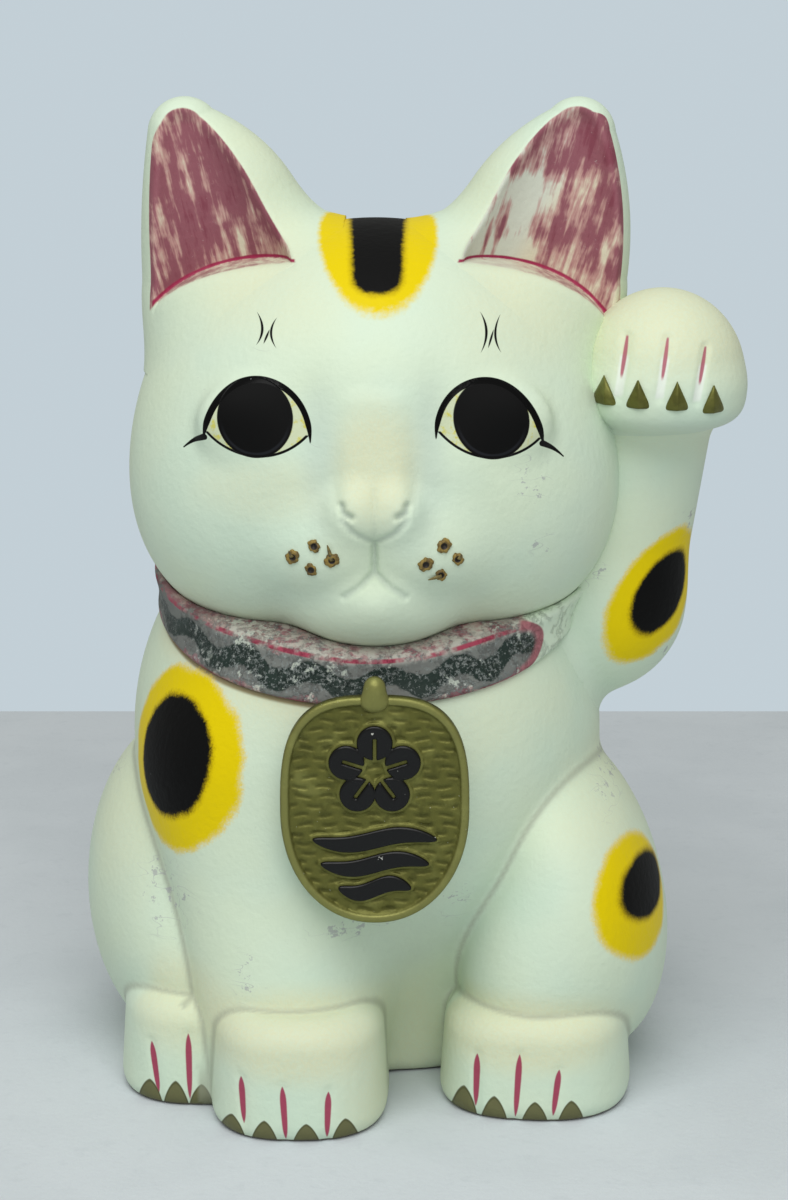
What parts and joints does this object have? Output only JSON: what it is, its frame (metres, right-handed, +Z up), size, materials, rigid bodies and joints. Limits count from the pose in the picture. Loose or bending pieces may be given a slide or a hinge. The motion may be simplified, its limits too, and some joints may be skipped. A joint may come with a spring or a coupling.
{
  "type": "beckoning cat figurine",
  "caption": "Hollow earthenware cat sitting with one paw raised beside its head, with a collar, an oval chest tablet, a coin slot behind and a stopper below.",
  "frame": {"origin": "on the flat underside, on the midplane between the two ears, under the front half of the body", "axes": "+Z up, +X towards the raised left paw, -Y the way the cat faces"},
  "size_m": [0.2174, 0.191, 0.3194],
  "materials": {
    "white_clay": "cold-painted, satin",
    "ear_paint": "worn matt paint",
    "collar_paint": "worn matt paint",
    "olive_gold": "dull gold paint",
    "black_enamel": "glossy enamel",
    "bare_clay": "unpainted, matt",
    "dried_glue": "matt",
    "bristle": "matt",
    "rubber": "matt"
  },
  "bodies": {
    "cat": {"body_front": "white_clay", "body_back": "white_clay", "base_slab": "bare_clay", "tail": "white_clay", "head_front": "white_clay", "head_back": "white_clay", "ear_right": "ear_paint", "ear_left": "ear_paint", "raised_arm": "white_clay", "raised_paw": "white_clay", "paw_claws": "olive_gold", "collar": "collar_paint", "koban": "olive_gold", "koban_bead": "olive_gold", "ornament_blossom": "black_enamel", "ornament_wave": "black_enamel", "whisker_dabs_right": "dried_glue", "whisker_dabs_left": "dried_glue", "whisker_stubs_right": "bristle", "whisker_stubs_left": "bristle"},
    "plug": {"stopper": "rubber"}
  },
  "joints": [
    {"name": "stopper_pull", "type": "slide", "parent": "cat", "child": "plug", "axis": [0, 0, -1], "range_m": [0, 0.03]}
  ]
}
